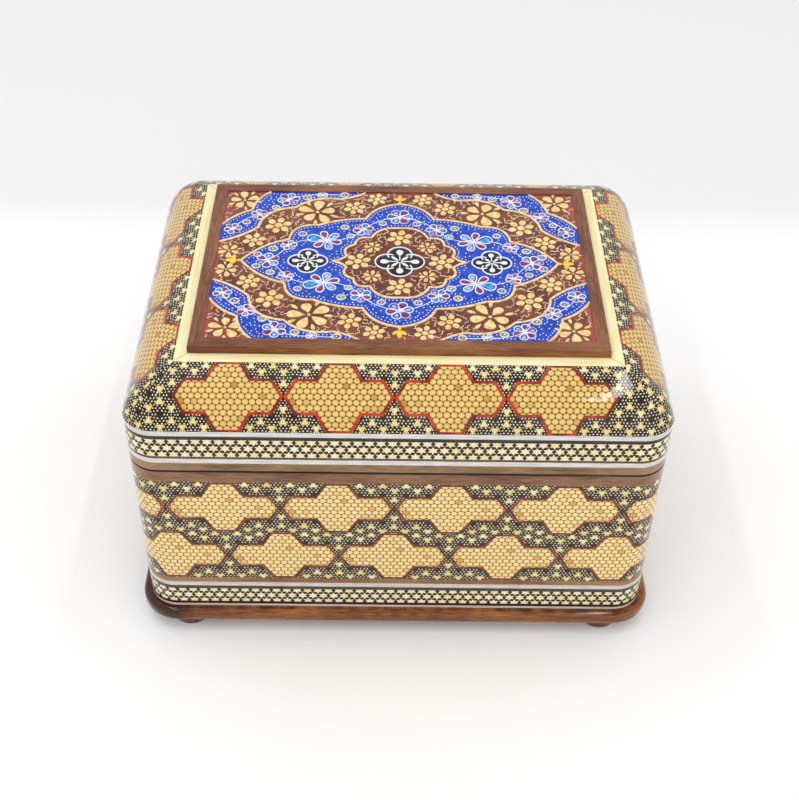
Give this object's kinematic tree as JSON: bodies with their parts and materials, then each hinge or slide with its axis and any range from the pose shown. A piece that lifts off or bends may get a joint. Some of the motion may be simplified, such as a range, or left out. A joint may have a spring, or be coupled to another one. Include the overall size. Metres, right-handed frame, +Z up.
{
  "type": "jewelry box",
  "caption": "Rectangular wooden marquetry jewelry box on a low footed plinth, with a hinged pillow-shaped lid carrying a raised painted panel, and a lined compartment.",
  "frame": {"origin": "on the surface the feet stand on, under the middle of the plinth", "axes": "+X across the width towards the box's right as seen from the front, -Y towards the front, +Z up"},
  "size_m": [0.186, 0.144, 0.1157],
  "materials": {
    "dark_wood": "gloss lacquer",
    "carcass_wood": "satin",
    "strip_wood": "gloss lacquer",
    "frame_wood": "gloss lacquer",
    "khatam": "gloss lacquered marquetry",
    "star_band": "gloss lacquered marquetry",
    "white_line": "gloss lacquer",
    "black_line": "gloss lacquer",
    "border_bone": "gloss lacquer",
    "painted_panel": "gloss lacquered paint",
    "velvet": "velvet pile",
    "brass": "polished"
  },
  "bodies": {
    "body": {"plinth_board": "dark_wood", "foot_front_left": "dark_wood", "foot_front_right": "dark_wood", "foot_back_left": "dark_wood", "foot_back_right": "dark_wood", "bottom_board": "carcass_wood", "front_wall": "carcass_wood", "back_wall": "carcass_wood", "left_wall": "carcass_wood", "right_wall": "carcass_wood", "body_rim_strip": "strip_wood", "lower_wood_strip": "strip_wood", "front_khatam": "khatam", "back_khatam": "khatam", "left_khatam": "khatam", "right_khatam": "khatam", "lower_star_band": "star_band", "lower_white_line_lower": "white_line", "lower_white_line_upper": "white_line", "lower_black_line_lower": "black_line", "lower_black_line_upper": "black_line", "floor_pad": "velvet", "front_lining": "velvet", "back_lining": "velvet", "left_lining": "velvet", "right_lining": "velvet", "left_hinge_body_leaf": "brass", "left_hinge_pin": "brass", "right_hinge_body_leaf": "brass", "right_hinge_pin": "brass", "body_hinge_screws": "brass"},
    "lid": {"lid_front_rail": "carcass_wood", "lid_back_rail": "carcass_wood", "lid_left_rail": "carcass_wood", "lid_right_rail": "carcass_wood", "lid_top_board": "carcass_wood", "lid_front_khatam": "khatam", "lid_back_khatam": "khatam", "lid_left_khatam": "khatam", "lid_right_khatam": "khatam", "front_border": "border_bone", "back_border": "border_bone", "left_border": "border_bone", "right_border": "border_bone", "front_frame": "frame_wood", "back_frame": "frame_wood", "left_frame": "frame_wood", "right_frame": "frame_wood", "painted_panel": "painted_panel", "lid_wood_strip": "strip_wood", "lid_white_line_lower": "white_line", "lid_black_line_lower": "black_line", "lid_star_band": "star_band", "lid_black_line_upper": "black_line", "lid_white_line_upper": "white_line", "lid_lining_pad": "velvet", "lid_side_lining": "velvet", "left_hinge_lid_leaf": "brass", "right_hinge_lid_leaf": "brass", "lid_hinge_screws": "brass"}
  },
  "joints": [
    {"name": "lid_hinge", "type": "hinge", "parent": "body", "child": "lid", "pos_m": [0, 0.0664, 0.07975], "axis": [-1, 0, 0], "range_deg": [0, 98]}
  ]
}
